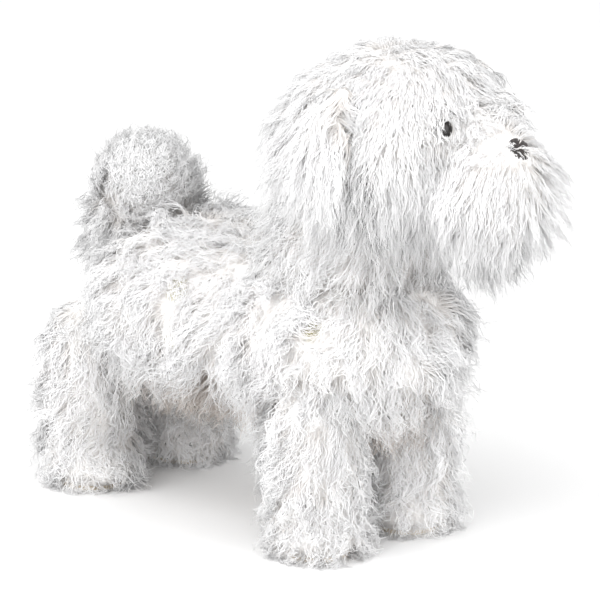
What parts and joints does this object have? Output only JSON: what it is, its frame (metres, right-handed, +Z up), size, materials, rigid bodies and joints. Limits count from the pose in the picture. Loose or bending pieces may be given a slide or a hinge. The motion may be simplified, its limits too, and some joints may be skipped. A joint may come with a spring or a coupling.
{
  "type": "plush dog",
  "caption": "Standing long-haired white plush dog with bead eyes, hanging ears, upright tail and sewn legs that swing; head nods and turns.",
  "frame": {"origin": "on the ground under the middle of the whole toy", "axes": "+X forward out of the chest, +Y to the dog's left, +Z up"},
  "size_m": [0.366, 0.1382, 0.2983],
  "materials": {
    "fur": "matte",
    "hide": "matte",
    "sole_hide": "matte",
    "stuffing": "matte",
    "thread": "matte",
    "eye_bead": "gloss",
    "nose_plastic": "satin",
    "washer": "matte"
  },
  "bodies": {
    "torso": {"torso_stuffing": "stuffing", "torso_left_panel": "fur", "torso_right_panel": "fur", "torso_belly_panel": "fur", "torso_back_seam": "thread", "torso_belly_seams": "thread"},
    "neck": {"neck_panel": "fur", "neck_stuffing": "stuffing", "neck_seam": "thread"},
    "head": {"head_stuffing": "stuffing", "head_left_panel": "fur", "head_right_panel": "fur", "head_crown_gusset": "fur", "throat_gusset": "fur", "head_gusset_seams": "thread", "muzzle_panel": "fur", "chin_panel": "fur", "left_eye": "eye_bead", "right_eye": "eye_bead", "left_eye_washer": "washer", "right_eye_washer": "washer", "nose": "nose_plastic", "nose_washer": "washer"},
    "left_ear": {"left_ear_outer": "fur", "left_ear_lining": "hide"},
    "right_ear": {"right_ear_outer": "fur", "right_ear_lining": "hide"},
    "tail": {"tail_panel": "fur", "tail_stuffing": "stuffing"},
    "front_left_leg": {"front_left_leg_panel": "fur", "front_left_leg_stuffing": "stuffing", "front_left_sole": "sole_hide"},
    "front_right_leg": {"front_right_leg_panel": "fur", "front_right_leg_stuffing": "stuffing", "front_right_sole": "sole_hide"},
    "hind_left_leg": {"hind_left_leg_panel": "fur", "hind_left_leg_stuffing": "stuffing", "hind_left_sole": "sole_hide"},
    "hind_right_leg": {"hind_right_leg_panel": "fur", "hind_right_leg_stuffing": "stuffing", "hind_right_sole": "sole_hide"}
  },
  "joints": [
    {"name": "neck_nod", "type": "hinge", "parent": "torso", "child": "neck", "pos_m": [0.018, 0, 0.155], "axis": [0, 1, 0], "range_deg": [-10, 10], "stiffness_Nm_per_rad": 6},
    {"name": "head_turn", "type": "hinge", "parent": "neck", "child": "head", "pos_m": [0.018, 0, 0.155], "axis": [0.4695, 0, 0.8829], "range_deg": [-30, 30], "stiffness_Nm_per_rad": 3},
    {"name": "left_ear_flop", "type": "hinge", "parent": "head", "child": "left_ear", "pos_m": [0.07, 0.05, 0.275], "axis": [1, 0, 0], "range_deg": [0, 70]},
    {"name": "right_ear_flop", "type": "hinge", "parent": "head", "child": "right_ear", "pos_m": [0.07, -0.05, 0.275], "axis": [-1, 0, 0], "range_deg": [0, 70]},
    {"name": "tail_sway", "type": "hinge", "parent": "torso", "child": "tail", "pos_m": [-0.15, 0, 0.148], "axis": [1, 0, 0], "range_deg": [-25, 25], "stiffness_Nm_per_rad": 0.5},
    {"name": "front_left_leg_swing", "type": "hinge", "parent": "torso", "child": "front_left_leg", "pos_m": [0.036, 0.036, 0.085], "axis": [0, 1, 0], "range_deg": [-20, 20], "stiffness_Nm_per_rad": 3},
    {"name": "front_right_leg_swing", "type": "hinge", "parent": "torso", "child": "front_right_leg", "pos_m": [0.036, -0.036, 0.085], "axis": [0, 1, 0], "range_deg": [-20, 20], "stiffness_Nm_per_rad": 3},
    {"name": "hind_left_leg_swing", "type": "hinge", "parent": "torso", "child": "hind_left_leg", "pos_m": [-0.15, 0.036, 0.085], "axis": [0, 1, 0], "range_deg": [-20, 20], "stiffness_Nm_per_rad": 3},
    {"name": "hind_right_leg_swing", "type": "hinge", "parent": "torso", "child": "hind_right_leg", "pos_m": [-0.15, -0.036, 0.085], "axis": [0, 1, 0], "range_deg": [-20, 20], "stiffness_Nm_per_rad": 3}
  ]
}
